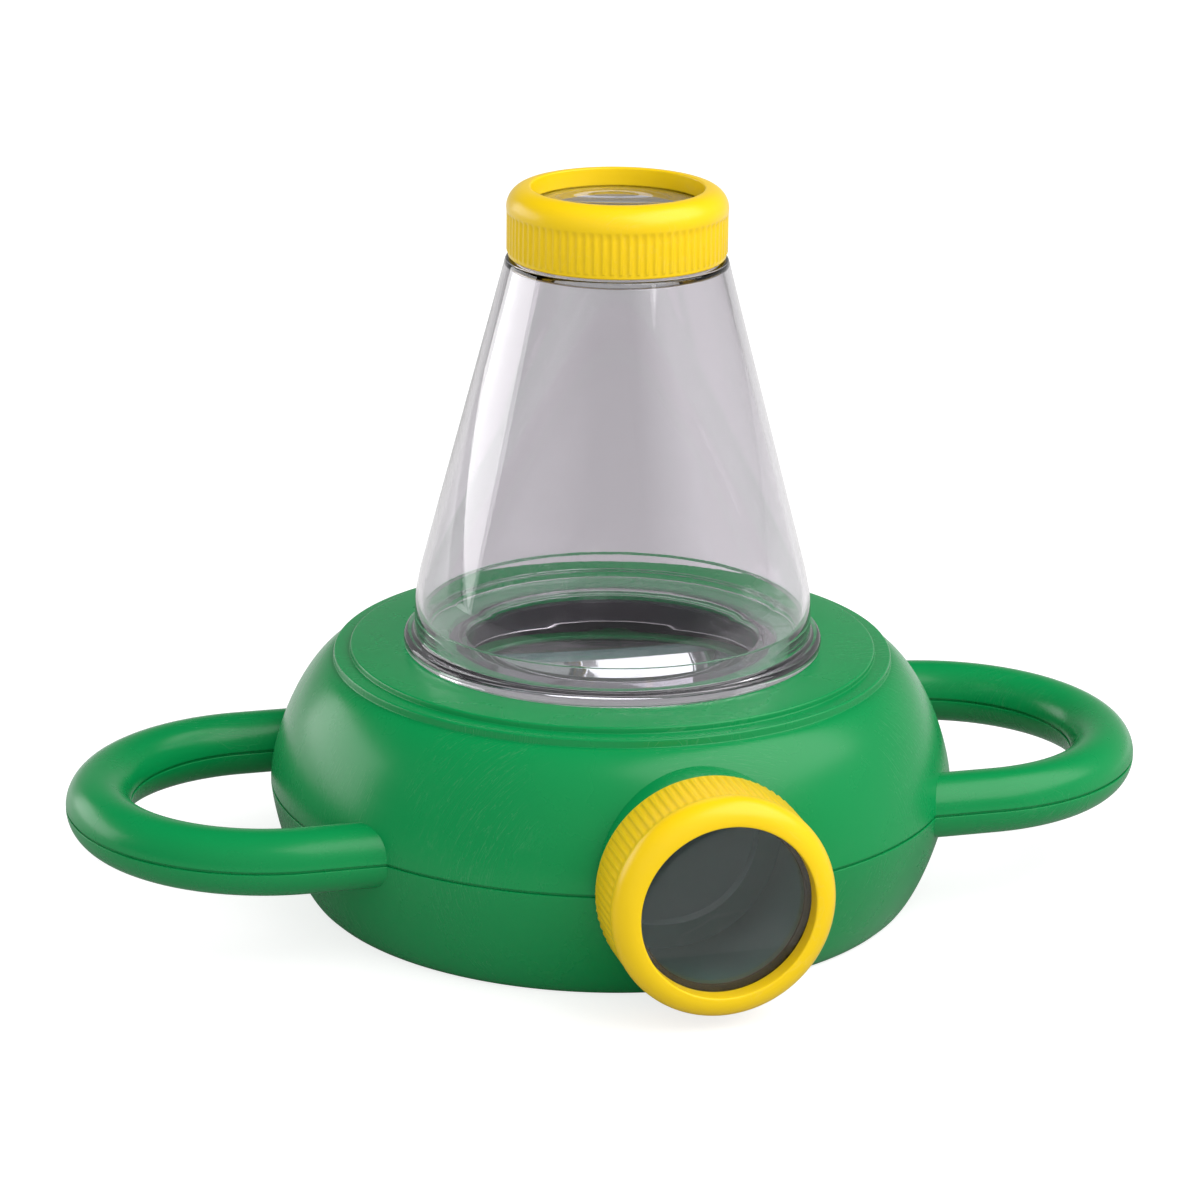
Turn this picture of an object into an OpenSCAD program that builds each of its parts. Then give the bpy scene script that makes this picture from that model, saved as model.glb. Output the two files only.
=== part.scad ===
// Two-way insect viewer: a clear conical jar on a round base, a magnifier cap on top,
// and a magnifier eyepiece at the side that looks at the jar's clear floor through a mirror.
// Origin at the centre of the underside, +Z up, handles along X, eyepiece towards -Y.

/* [Body] */
// Radius of the round body at its seam
body_r = 75; // [72:0.5:79]
// Height of the seam between the two shells
seam_z = 25.2; // [24.4:0.1:26.4]
// Distance that the flat underside's edge lies inside the body's side
base_tuck = 9.2; // [7:0.2:11]
// Distance that the dome's upper edge lies inside the body's side
dome_tuck = 14; // [12:0.2:15]
// Height at which the dome ends and the steps begin
dome_top_z = 52.5; // [51.5:0.1:54]
// Exponent of the dome's outline, where 2 is an ellipse
dome_curve = 1.53; // [1.4:0.01:2]
// Exponent of the bowl's outline, where 2 is an ellipse
bowl_curve = 1.38; // [1.3:0.01:2]
// Wall of both shells
shell_wall = 2.2; // [1.8:0.1:2.4]
// Thickness of the base's floor
floor_t = 2.4; // [2:0.1:3]
// Depth of the groove along the seam
seam_groove = 0.4; // [0.2:0.1:0.6]

/* [Handles] */
// Radius of the handle tube
handle_r = 7; // [6.2:0.1:8]
// Wall of the hollow handle
handle_wall = 2; // [1.6:0.1:2.4]
// Distance of each arm's centre line from the X axis, and radius of the loop's round end
arm_y = 37.3; // [36:0.1:39.5]
// Distance that the loop's centre line reaches past the body
handle_reach = 38.6; // [34:0.2:44]

/* [Ledge and well] */
// Width of the lower step, from the dome's upper edge to the ledge's edge
step_w = 3.6; // [2.4:0.1:5]
// Rise from the dome to the lower step
lower_step_h = 1.8; // [1.4:0.1:2.4]
// Rise from the lower step to the ledge
upper_step_h = 1.4; // [1:0.1:2]
// Radius of the round well in the ledge
well_r = 36.3; // [35.4:0.1:37]
// Wall of the well
well_wall = 2; // [1.6:0.1:2.6]
// Depth from the ledge to the shelf that carries the window
well_depth = 10; // [9.4:0.1:10.6]
// Width of that shelf
shelf_w = 4.8; // [4:0.1:5.4]
// Thickness of that shelf
shelf_t = 1.8; // [1.4:0.1:2.2]
// Thickness of the clear window
window_t = 2; // [1.6:0.1:2.2]
// Wall of the black ring above the window
stage_ring_wall = 2.1; // [1.6:0.1:2.4]
// Height of that ring
stage_ring_h = 6.5; // [5.4:0.1:7]

/* [Jar] */
// Radius of the flange at the jar's foot
flange_r = 45.7; // [44.8:0.1:48]
// Thickness of the flange
flange_t = 2.7; // [2.2:0.1:3.2]
// Radius of the upright skirt above the flange
skirt_r = 43.3; // [42:0.1:44.4]
// Height from the ledge to the top of the skirt
skirt_h = 11.8; // [10:0.2:14]
// Height of the cone above the skirt
cone_h = 74.3; // [66:0.5:84]
// Wall of the jar
jar_wall = 1.7; // [1.4:0.1:2]
// Thickness of the floor ring inside the skirt
jar_floor_t = 1.9; // [1.5:0.1:2.3]
// Height of the thicker band inside the skirt
band_h = 7.6; // [6.4:0.2:8.6]
// Extra thickness of that band
band_w = 0.7; // [0.4:0.1:1]
// Depth that the jar's foot reaches below the ledge
foot_depth = 6; // [4.6:0.2:6.6]
// Wall of the foot
foot_wall = 1.6; // [1.3:0.1:2]

/* [Screw rings] */
// Outer radius of the cap ring and the eyepiece ring, over their ribs
ring_r = 23.7; // [23.4:0.1:24.2]
// Depth of a ring from its rear edge to its crest
ring_depth = 15; // [14.4:0.1:16]
// Radius of the rounded roll at a ring's front
roll_r = 4.5; // [4.2:0.1:4.8]
// Radius of the hole in a ring's front
hole_r = 18.5; // [18.1:0.1:18.7]
// Distance that the roll stands out past the ribs
roll_proud = 0.1; // [0.05:0.05:0.3]
// Wall of a ring, under its ribs
ring_wall = 1.35; // [1.25:0.05:1.5]
// Height of a rib
rib_h = 0.4; // [0.25:0.05:0.5]
// Number of ribs round a ring
rib_count = 80; // [60:1:90]
// Depth of the hole in a ring's front, down to the lip that holds the lens
lip_depth = 3.9; // [3.6:0.1:4.1]
// Width of the lip
lip_w = 1.1; // [0.9:0.1:1.2]

/* [Thread] */
// Rise of the thread in one turn
thread_pitch = 4; // [3.8:0.1:4.2]
// Height of a thread ridge
thread_h = 1.1; // [0.9:0.05:1.2]
// Width of a ridge at its root
thread_root_w = 1.9; // [1.5:0.1:2]
// Width of a ridge at its crest
thread_crest_w = 0.9; // [0.7:0.1:1.1]
// Turns of each ridge
thread_turns = 0.9; // [0.7:0.05:0.9]
// Length of the threaded neck that a ring screws on
neck_h = 7; // [6.8:0.1:7.4]
// Wall of the neck
neck_wall = 1.8; // [1.5:0.1:2.2]

/* [Lenses] */
// Radius of curvature of each lens face
lens_curve_r = 110; // [100:1:140]
// Thickness of a lens at its edge
lens_edge_t = 1.6; // [1.3:0.1:1.8]
// Wall of the ring that retains a lens
retainer_wall = 2.2; // [1.8:0.1:2.6]
// Height of that ring
retainer_h = 1.2; // [0.9:0.1:1.3]

/* [Eyepiece and mirror] */
// Height of the eyepiece's axis
eye_z = 26.8; // [26.4:0.1:27.2]
// Distance that the eyepiece boss stands out past the body beside it
boss_proud = 0.25; // [0.2:0.05:0.5]
// Wall of the eyepiece boss
boss_wall = 2.1; // [1.8:0.1:2.4]
// Length of the eyepiece boss
boss_len = 15.4; // [14:0.2:16.6]
// Length of the plain skirt that the eyepiece ring has behind its thread
eye_skirt = 3.2; // [2.8:0.1:3.6]
// Thickness of the flange at the tube's inner end
tube_flange_t = 2.4; // [1.8:0.1:3]
// Distance that this flange stands out round the tube
tube_flange_w = 2.4; // [1.8:0.1:2.8]
// Distance of the mirror's sides inside the body's side
mirror_tuck = 46; // [45.5:0.5:49]
// Gap between the mirror's upper edge and the shelf above it
mirror_top_gap = 0.7; // [0.3:0.1:2]
// Thickness of the mirror
mirror_t = 2; // [1.5:0.1:2.4]
// Wall of the light box
box_wall = 1.6; // [1.3:0.1:2]
// Radius of the hole in the light box's front
box_hole_r = 15.6; // [13:0.2:16]

/* [Screws] */
// Distance of the shell screws inside the body's side
screw_tuck = 19; // [17.4:0.2:21]
// Radius of a screw's shank
shank_r = 1.5; // [1.3:0.05:1.6]
// Radius of a screw's head
head_r = 2.8; // [2.5:0.1:3]
// Height of a screw's head
head_h = 1.8; // [1.5:0.1:2.2]
// Radius of the posts that the shell screws hold
post_r = 4.8; // [4.5:0.1:5.2]
// Height of the seat of a shell screw's head
screw_seat_z = 13; // [11:0.5:15]
// Length of a shell screw in the upper shell
shell_bite = 7; // [5:0.5:8]
// Distance of the light box's screws in front of the axis
box_screw_y = 20; // [14:0.5:24]
// Radius of the light box's screw ears
ear_r = 4; // [3.6:0.1:4.6]

/* [Hidden] */
$fn = 96;

// Clearances, an overrun for cuts, and the depth by which ridges and ribs sink into their wall
fit_gap = 0.1;
seat_gap = 0.1;
foot_gap = 0.3;
thread_gap = 0.25;
ring_rear_gap = 0.4;
over = 1;
sink = 0.3;

// Steps of the curved outlines and of the threads, in degrees
outline_step = 5;
thread_step = 10;

// Body
base_r = body_r - base_tuck;
dome_top_r = body_r - dome_tuck;
ledge_r = dome_top_r - step_w;
ledge_z = dome_top_z + lower_step_h + upper_step_h;
step_z = dome_top_z + lower_step_h;
lip_gap = 0.3;
seam_lip_w = 1.3;
seam_lip_h = 1.5;
seam_lip_root = 3;

// Well and stage
shelf_r = well_r - shelf_w;
shelf_z = ledge_z - well_depth;
shelf_under = shelf_z - shelf_t;
stage_r = well_r - fit_gap;
window_z = shelf_z;
stage_ring_z = window_z + window_t;
stage_ring_in = stage_r - stage_ring_wall;

// Jar
jar_z = ledge_z + seat_gap;
skirt_z = ledge_z + skirt_h;
shoulder_z = skirt_z + cone_h;
cone_top_r = ring_r + fit_gap;
foot_r = stage_ring_in - foot_gap;
foot_z = ledge_z - foot_depth;
cap_z = shoulder_z + ring_rear_gap;

// Rings, neck and lens, along a ring's own axis from its rear edge
rib_crest_r = ring_r - roll_proud;
rib_root_r = rib_crest_r - rib_h;
ring_bore_r = rib_root_r - ring_wall;
neck_r = ring_bore_r - thread_gap - thread_h;
neck_in = neck_r - neck_wall;
roll_z = ring_depth - roll_r;
lip_z = ring_depth - lip_depth;
seat_r = hole_r + lip_w;
neck_top_gap = 0.5;
seat_bottom = neck_h + neck_top_gap;
rib_start = 0.9;
ring_chamfer = 0.5;
rib_root_share = 0.3;
rib_crest_share = 0.14;
lens_r = seat_r - fit_gap;
lens_mid_t = lens_edge_t + 2 * sag(lens_r);
lens_front = lip_z - fit_gap - (sag(lens_r) - sag(hole_r));
lens_centre = lens_front - lens_edge_t / 2;
retainer_r = seat_r - fit_gap;
retainer_in = retainer_r - retainer_wall;
retainer_top = lens_front - lens_edge_t - (sag(lens_r) - sag(retainer_in)) - fit_gap;
thread_low = (thread_pitch - thread_root_w) / 2 - fit_gap;
ring_thread_low = thread_low - fit_gap;
ring_thread_turn = 360 * (ring_thread_low - thread_low - thread_pitch / 2) / thread_pitch;

// Eyepiece, seen from the body's axis towards -Y
boss_r = boss_wall + neck_r + fit_gap;
boss_face = sqrt(body_r * body_r - ring_bore_r * ring_bore_r) + boss_proud;
boss_back = boss_face - boss_len;
boss_bore_len = body_r - boss_back + 2 * over;
eye_ring_y = boss_face + ring_rear_gap + eye_skirt;
tube_back = boss_back - fit_gap - tube_flange_t;
box_front = tube_back - fit_gap;

// Light box
mirror_half_w = body_r - mirror_tuck;
mirror_half_l = (shelf_under - mirror_top_gap - eye_z) * sqrt(2);
box_top = shelf_under - fit_gap;
box_bottom = eye_z - (mirror_half_l + mirror_t) / sqrt(2) - fit_gap - box_wall;
box_half_w = mirror_half_w + fit_gap + box_wall;
slope_in = (mirror_t + fit_gap) * sqrt(2);
slope_out = slope_in + box_wall * sqrt(2);
ear_t = 2;
ear_x = box_half_w + ear_r;
box_bite = 4.6;

// Screws and their holes
pilot_gap = 0.1;
shank_gap = 0.2;
head_gap = 0.5;
slot_w = 0.8;
slot_depth = 0.9;
pilot_depth = shell_bite + 2 * over;
shell_screw_xy = (body_r - screw_tuck) / sqrt(2);

function sag(r) = lens_curve_r - sqrt(lens_curve_r * lens_curve_r - r * r);

// Points of a rounded outline from the widest radius at the seam to its end
function curve_points(wide_r, end_r, start_z, rise, exponent) =
  [for (a = [0:outline_step:90])
    [end_r + (wide_r - end_r) * pow(cos(a), 2 / exponent), start_z + rise * pow(sin(a), 2 / exponent)]];

function reversed(points) = [for (i = [len(points) - 1:-1:0]) points[i]];

// The whole body, smaller by "inset" at its side
module body_solid(inset) {
  bowl = curve_points(body_r - inset, base_r - inset, seam_z, -seam_z, bowl_curve);
  dome = curve_points(body_r - inset, dome_top_r - inset, seam_z, dome_top_z - seam_z, dome_curve);
  rotate_extrude()
    polygon(concat([[0, 0]], reversed(bowl), dome,
      [[dome_top_r - inset, step_z], [ledge_r, step_z], [ledge_r, ledge_z], [0, ledge_z]]));
}

// The space inside the body's wall
module body_hollow() {
  w = shell_wall;
  bowl = curve_points(body_r - w, base_r - w, seam_z, floor_t - seam_z, bowl_curve);
  dome = curve_points(body_r - w, dome_top_r - w, seam_z, dome_top_z - w - seam_z, dome_curve);
  rotate_extrude()
    polygon(concat([[0, floor_t]], reversed(bowl), dome,
      [[ledge_r - w, dome_top_z - w], [ledge_r - w, ledge_z - w], [0, ledge_z - w]]));
}

// Both handle loops as tubes of radius r, each with two straight arms and a half-circle end
module handle_loops(r) {
  end_x = body_r + handle_reach - arm_y;
  root_x = ledge_r;
  for (side = [0, 1]) mirror([side, 0, 0]) translate([0, 0, seam_z]) {
    for (y = [-arm_y, arm_y])
      translate([root_x, y, 0]) rotate([0, 90, 0]) cylinder(r = r, h = end_x - root_x);
    translate([end_x, 0, 0]) rotate([0, 0, -90])
      rotate_extrude(angle = 180) translate([arm_y, 0]) circle(r = r);
  }
}

// Turns a shape that points up so that it points along the eyepiece's axis
module at_eyepiece(distance) {
  translate([0, -distance, eye_z]) rotate([90, 0, 0]) children();
}

// Everything of the two shells outside their inner details
module shell_skin(inset) {
  body_solid(inset);
  handle_loops(handle_r - inset);
  at_eyepiece(boss_back) cylinder(r = boss_r, h = boss_len);
}

module shell_space() {
  difference() {
    body_hollow();
    at_eyepiece(boss_back) cylinder(r = boss_r, h = boss_len);
  }
  handle_loops(handle_r - handle_wall);
}

// The part of the space above or below a height
module above(z) {
  side = 2 * (body_r + handle_reach + handle_r + over);
  translate([-side / 2, -side / 2, z]) cube([side, side, ledge_z]);
}

module below(z) {
  side = 2 * (body_r + handle_reach + handle_r + over);
  translate([-side / 2, -side / 2, z - ledge_z]) cube([side, side, ledge_z]);
}

module at_shell_screws() {
  for (x = [-1, 1]) for (y = [-1, 1])
    translate([x * shell_screw_xy, y * shell_screw_xy, 0]) children();
}

module upper_shell() {
  color("forestgreen") difference() {
    union() {
      difference() {
        union() {
          intersection() { shell_skin(0); above(seam_z + seam_groove / 2); }
          intersection() { shell_skin(seam_groove); above(seam_z); }
        }
        shell_space();
      }
      translate([0, 0, shelf_under]) cylinder(r = well_r + well_wall, h = ledge_z - shelf_under);
      intersection() {
        at_shell_screws() translate([0, 0, seam_z + fit_gap]) cylinder(r = post_r, h = ledge_z - seam_z);
        body_solid(shell_wall / 2);
      }
    }
    translate([0, 0, shelf_z]) cylinder(r = well_r, h = well_depth + over);
    translate([0, 0, shelf_under - over]) cylinder(r = shelf_r, h = shelf_t + 2 * over);
    at_eyepiece(boss_back - over) cylinder(r = neck_r + fit_gap, h = boss_bore_len);
    at_shell_screws() translate([0, 0, seam_z - over])
      cylinder(r = shank_r + pilot_gap, h = pilot_depth + over);
  }
}

// Ring that locates the two shells, inside the seam
module seam_lip() {
  lip_out = body_r - shell_wall;
  difference() {
    translate([0, 0, seam_z - seam_lip_root]) union() {
      cylinder(r = lip_out - lip_gap, h = seam_lip_root + seam_lip_h);
      cylinder(r = lip_out + sink, h = seam_lip_root - over);
    }
    translate([0, 0, seam_z - seam_lip_root - over])
      cylinder(r = lip_out - lip_gap - seam_lip_w, h = seam_lip_root + seam_lip_h + 2 * over);
    handle_loops(handle_r);
    at_eyepiece(boss_back) cylinder(r = boss_r + fit_gap, h = boss_len);
  }
}

module lower_shell() {
  color("forestgreen") difference() {
    union() {
      difference() {
        union() {
          intersection() { shell_skin(0); below(seam_z - seam_groove / 2); }
          intersection() { shell_skin(seam_groove); below(seam_z); }
        }
        shell_space();
      }
      seam_lip();
      at_shell_screws() cylinder(r = post_r, h = seam_z);
      for (x = [-ear_x, ear_x]) translate([x, -box_screw_y, 0]) cylinder(r = ear_r, h = box_bottom);
    }
    at_eyepiece(boss_back - over) cylinder(r = neck_r + fit_gap, h = boss_bore_len);
    at_shell_screws() {
      translate([0, 0, -over]) cylinder(r = head_r + head_gap, h = screw_seat_z + over);
      translate([0, 0, screw_seat_z - over])
        cylinder(r = shank_r + shank_gap, h = seam_z - screw_seat_z + 2 * over);
    }
    for (x = [-ear_x, ear_x]) translate([x, -box_screw_y, box_bottom + ear_t - box_bite - fit_gap])
      cylinder(r = shank_r + pilot_gap, h = box_bite + over);
  }
}

module stage_window() {
  color("lightcyan", 0.4) translate([0, 0, window_z]) cylinder(r = stage_r, h = window_t);
}

module stage_ring() {
  color("black") translate([0, 0, stage_ring_z]) difference() {
    cylinder(r = stage_r, h = stage_ring_h);
    translate([0, 0, -over]) cylinder(r = stage_ring_in, h = stage_ring_h + 2 * over);
  }
}

function ridge_ring(root_r, crest_r, z, a) =
  [for (p = [[root_r, -thread_root_w / 2], [crest_r, -thread_crest_w / 2],
             [crest_r, thread_crest_w / 2], [root_r, thread_root_w / 2]])
    [p[0] * cos(a), p[0] * sin(a), z + p[1]]];

// One helical ridge that starts at start_z and start_a and climbs anticlockwise
module thread_ridge(root_r, crest_r, start_z, start_a) {
  steps = floor(360 * thread_turns / thread_step);
  points = [for (i = [0:steps]) each ridge_ring(root_r, crest_r,
             start_z + thread_pitch * i * thread_step / 360, start_a + i * thread_step)];
  sides = [for (i = [0:steps - 1]) for (k = [0:3])
            let (a = 4 * i + k, b = 4 * i + (k + 1) % 4, c = b + 4, d = a + 4) each [[a, b, c], [a, c, d]]];
  last = 4 * steps;
  ends = [[3, 2, 1], [3, 1, 0], [last, last + 1, last + 2], [last, last + 2, last + 3]];
  faces = concat(sides, ends);
  polyhedron(points, crest_r < root_r ? [for (f = faces) reversed(f)] : faces);
}

// Threaded neck on which a ring screws, open inside, from z = -root to neck_h
module threaded_neck(root) {
  difference() {
    union() {
      translate([0, 0, -root]) cylinder(r = neck_r, h = neck_h + root);
      thread_ridge(neck_r - sink, neck_r + thread_h, thread_low + thread_root_w / 2, 0);
    }
    translate([0, 0, -root - over]) cylinder(r = neck_in, h = neck_h + root + 2 * over);
  }
}

module cone_chamber() {
  skirt_in = skirt_r - jar_wall;
  floor_top = jar_z + jar_floor_t;
  color("lavender", 0.4) {
    rotate_extrude() polygon([
      [foot_r - foot_wall, foot_z], [foot_r, foot_z], [foot_r, jar_z], [flange_r, jar_z],
      [flange_r, jar_z + flange_t], [skirt_r, jar_z + flange_t], [skirt_r, skirt_z],
      [cone_top_r, shoulder_z], [neck_r - sink, shoulder_z], [neck_in, shoulder_z],
      [neck_in, shoulder_z - jar_wall], [cone_top_r - jar_wall, shoulder_z - jar_wall],
      [skirt_in, skirt_z], [skirt_in, ledge_z + band_h],
      [skirt_in - band_w, ledge_z + band_h], [skirt_in - band_w, floor_top],
      [foot_r - foot_wall, floor_top]]);
    translate([0, 0, cap_z]) threaded_neck(ring_rear_gap + jar_wall / 2);
  }
}

// Section of a ring: skirt, lens seat, lip and rounded roll
module ring_section(skirt) {
  polygon([[ring_bore_r, -skirt], [rib_root_r - ring_chamfer, -skirt], [rib_root_r, ring_chamfer - skirt],
           [rib_root_r, roll_z], [seat_r, roll_z], [seat_r, seat_bottom], [ring_bore_r, seat_bottom]]);
  difference() {
    union() {
      intersection() {
        translate([ring_r - roll_r, roll_z]) circle(r = roll_r);
        translate([ring_r - roll_r, roll_z]) square(roll_r);
      }
      translate([hole_r, roll_z]) square([ring_r - roll_r - hole_r, roll_r]);
    }
    translate([0, seat_bottom]) square([seat_r, lip_z - seat_bottom]);
  }
}

module ring_ribs(skirt) {
  pitch = 360 / rib_count;
  root = rib_root_r - sink;
  corners = [[root, -rib_root_share], [rib_crest_r, -rib_crest_share],
             [rib_crest_r, rib_crest_share], [root, rib_root_share]];
  outline = [for (i = [0:rib_count - 1]) for (p = corners)
              [p[0] * cos((i + p[1]) * pitch), p[0] * sin((i + p[1]) * pitch)]];
  difference() {
    translate([0, 0, rib_start - skirt])
      linear_extrude(roll_z + sink - rib_start + skirt) polygon(outline);
    translate([0, 0, -skirt - over])
      cylinder(r = ring_bore_r + ring_wall / 2, h = ring_depth + skirt + 2 * over);
  }
}

// Screw ring whose sides reach back behind its thread by the skirt's length
module lens_ring(skirt) {
  rotate_extrude() ring_section(skirt);
  ring_ribs(skirt);
  thread_ridge(ring_bore_r + sink, ring_bore_r - thread_h, ring_thread_low + thread_root_w / 2,
               ring_thread_turn);
}

module lens() {
  offset_z = lens_curve_r - lens_mid_t / 2;
  translate([0, 0, lens_centre]) rotate_extrude() intersection() {
    translate([0, -offset_z]) circle(r = lens_curve_r, $fn = 1440);
    translate([0, offset_z]) circle(r = lens_curve_r, $fn = 1440);
    translate([0, -lens_mid_t]) square([lens_r, 2 * lens_mid_t]);
  }
}

module retainer() {
  translate([0, 0, retainer_top - retainer_h]) difference() {
    cylinder(r = retainer_r, h = retainer_h);
    translate([0, 0, -over]) cylinder(r = retainer_in, h = retainer_h + 2 * over);
  }
}

module cap_ring() { color("gold") translate([0, 0, cap_z]) lens_ring(0); }
module cap_lens() { color("aliceblue", 0.4) translate([0, 0, cap_z]) lens(); }
module cap_lens_retainer() { color("black") translate([0, 0, cap_z]) retainer(); }
module eyepiece_ring() { color("gold") at_eyepiece(eye_ring_y) lens_ring(eye_skirt); }
module eyepiece_lens() { color("aliceblue", 0.4) at_eyepiece(eye_ring_y) lens(); }
module eyepiece_lens_retainer() { color("black") at_eyepiece(eye_ring_y) retainer(); }

module eyepiece_tube() {
  root = eye_ring_y - tube_back;
  color("black") at_eyepiece(eye_ring_y) {
    threaded_neck(root);
    translate([0, 0, -root]) difference() {
      cylinder(r = neck_r + tube_flange_w, h = tube_flange_t);
      translate([0, 0, -over]) cylinder(r = neck_r - sink, h = tube_flange_t + 2 * over);
    }
  }
}

module mirror_plate() {
  color("silver") translate([0, 0, eye_z]) rotate([45, 0, 0])
    translate([-mirror_half_w, -mirror_half_l, -mirror_t])
      cube([2 * mirror_half_w, 2 * mirror_half_l, mirror_t]);
}

// Prism of half width w with a floor, an upright front and a back that slopes at 45 degrees
module wedge(w, front, low, high, back) {
  translate([-w, 0, 0]) rotate([90, 0, 90]) linear_extrude(2 * w)
    polygon([[-front, low], [-front, high], [high - eye_z + back, high], [low - eye_z + back, low]]);
}

module mirror_housing() {
  roof_y = well_r + well_wall - shelf_w;
  color("dimgray") difference() {
    union() {
      difference() {
        wedge(box_half_w, box_front, box_bottom, box_top, slope_out);
        wedge(box_half_w - box_wall, box_front - box_wall, box_bottom + box_wall, box_top + over, slope_in);
      }
      translate([-box_half_w, -box_front, box_top - box_wall])
        cube([2 * box_half_w, box_front - roof_y, box_wall]);
      for (x = [-ear_x, ear_x]) translate([x, -box_screw_y, box_bottom]) {
        cylinder(r = ear_r, h = ear_t);
        translate([x < 0 ? 0 : -ear_r - fit_gap, -ear_r, 0]) cube([ear_r + fit_gap, 2 * ear_r, ear_t]);
      }
    }
    at_eyepiece(box_front - 2 * box_wall) cylinder(r = box_hole_r, h = 3 * box_wall);
    for (x = [-ear_x, ear_x]) translate([x, -box_screw_y, box_bottom - over])
      cylinder(r = shank_r + shank_gap, h = ear_t + 2 * over);
    wedge(box_half_w - box_wall, box_front - box_wall, box_bottom + box_wall, box_top - box_wall, slope_in);
  }
}

// Screw with its head's underside at z = 0 and its shank pointing down
module screw(length) {
  difference() {
    union() {
      cylinder(r = head_r, h = head_h);
      translate([0, 0, -length]) cylinder(r = shank_r, h = length);
    }
    for (a = [0, 90]) rotate([0, 0, a]) translate([-shank_r, -slot_w / 2, head_h - slot_depth])
      cube([2 * shank_r, slot_w, slot_depth + over]);
  }
}

module shell_screws() {
  color("silver") at_shell_screws() translate([0, 0, screw_seat_z]) rotate([180, 0, 0])
    screw(seam_z - screw_seat_z + shell_bite);
}

module housing_screws() {
  color("silver") for (x = [-ear_x, ear_x]) translate([x, -box_screw_y, box_bottom + ear_t])
    screw(box_bite);
}

upper_shell();
lower_shell();
stage_window();
stage_ring();
cone_chamber();
cap_ring();
cap_lens();
cap_lens_retainer();
eyepiece_tube();
eyepiece_ring();
eyepiece_lens();
eyepiece_lens_retainer();
mirror_plate();  // mirror
mirror_housing();
shell_screws();
housing_screws();
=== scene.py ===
"""Two-way insect viewer: a clear conical jar on a green base with loop handles, a yellow
magnifier cap on top, and a yellow magnifier eyepiece that looks up through a mirror."""

from functools import partial, partialmethod
from math import asin, cos, degrees, pi, radians, sin, sqrt, tan

import bmesh
import bpy
from bpy.props import FloatProperty, FloatVectorProperty, IntProperty, PointerProperty
from mathutils import Matrix, Vector


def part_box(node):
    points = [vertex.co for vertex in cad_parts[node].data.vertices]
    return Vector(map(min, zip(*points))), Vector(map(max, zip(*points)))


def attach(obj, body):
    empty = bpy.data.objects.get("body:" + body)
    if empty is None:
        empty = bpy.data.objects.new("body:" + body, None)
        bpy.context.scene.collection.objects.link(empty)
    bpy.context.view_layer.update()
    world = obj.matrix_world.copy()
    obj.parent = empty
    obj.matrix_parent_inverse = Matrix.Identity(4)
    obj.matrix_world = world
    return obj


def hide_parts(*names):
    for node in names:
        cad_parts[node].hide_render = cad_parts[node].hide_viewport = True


bl_info = {
    "name": "Two-way insect viewer",
    "version": (1, 0, 0),
    "blender": (4, 5, 0),
    "location": "3D View > Sidebar > Insect Viewer",
    "description": "Builds a toy insect viewer around its packed frame",
    "category": "Object",
}

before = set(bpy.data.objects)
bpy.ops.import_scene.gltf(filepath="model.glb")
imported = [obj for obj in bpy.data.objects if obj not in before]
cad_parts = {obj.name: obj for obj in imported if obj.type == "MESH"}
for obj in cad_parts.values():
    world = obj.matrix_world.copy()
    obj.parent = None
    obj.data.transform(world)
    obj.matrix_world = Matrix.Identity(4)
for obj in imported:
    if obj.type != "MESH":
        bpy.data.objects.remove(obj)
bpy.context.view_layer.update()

MM = 0.001

UPPER_LOW, UPPER_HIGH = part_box("upper_shell")
WINDOW_LOW, WINDOW_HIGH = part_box("stage_window")
STAGE_LOW, STAGE_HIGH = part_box("stage_ring")
JAR_LOW, JAR_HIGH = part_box("cone_chamber")
CAP_LOW, CAP_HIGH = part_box("cap_ring")
EYE_LOW, EYE_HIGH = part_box("eyepiece_ring")
TUBE_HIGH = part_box("eyepiece_tube")[1]
LENS_LOW, LENS_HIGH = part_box("cap_lens")
RETAINER_LOW, RETAINER_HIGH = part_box("cap_lens_retainer")
MIRROR_LOW, MIRROR_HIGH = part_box("mirror")
LIGHT_BOX_LOW, LIGHT_BOX_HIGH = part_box("mirror_housing")

# Where the pieces meet
SEAM_Z = UPPER_LOW.z
LEDGE_Z = UPPER_HIGH.z
EYE_Z = (EYE_LOW.z + EYE_HIGH.z) / 2
EYE_START_Y = EYE_LOW.y + CAP_HIGH.z - CAP_LOW.z
EYE_SKIRT = EYE_HIGH.y - EYE_START_Y
EYEPIECE_TURN = Matrix.Translation((0, EYE_START_Y, EYE_Z)) @ Matrix.Rotation(pi / 2, 4, "X")
CAP_PLACE = Matrix.Translation((0, 0, CAP_LOW.z))
RING_GAP = 0.4 * MM
EAR_X = LIGHT_BOX_HIGH.x - 4 * MM
EAR_Y = -20 * MM

# Details that several pieces share
ROUND, SMALL_ROUND, RETAINER_ROUND = 256, 128, 160  # steps round shells, boss and lenses, retainers
PILOT_RADIUS = 1.6 * MM
THREAD_ROOT = 0.3 * MM  # how far a ridge reaches into its wall


def setting(name, default, about, kind=FloatProperty, **limits):
    """A value that a user would change."""
    return kind(name=name, description=about, default=default, **limits)


def length(name, default, about):
    """A size, given in millimetres and shown in the scene's unit of length."""
    return setting(name, default * MM, about, min=0, unit="LENGTH", precision=5)


def angle(name, default, about):
    """An angle, given in degrees."""
    return setting(name, radians(default), about, subtype="ANGLE")


def share(name, default, about):
    """A share from 0 to 1."""
    return setting(name, default, about, min=0, max=1, subtype="FACTOR")


def tint(name, default, about):
    """A linear colour."""
    return setting(name, default, about, FloatVectorProperty, min=0, max=1, size=3, subtype="COLOR")


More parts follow.
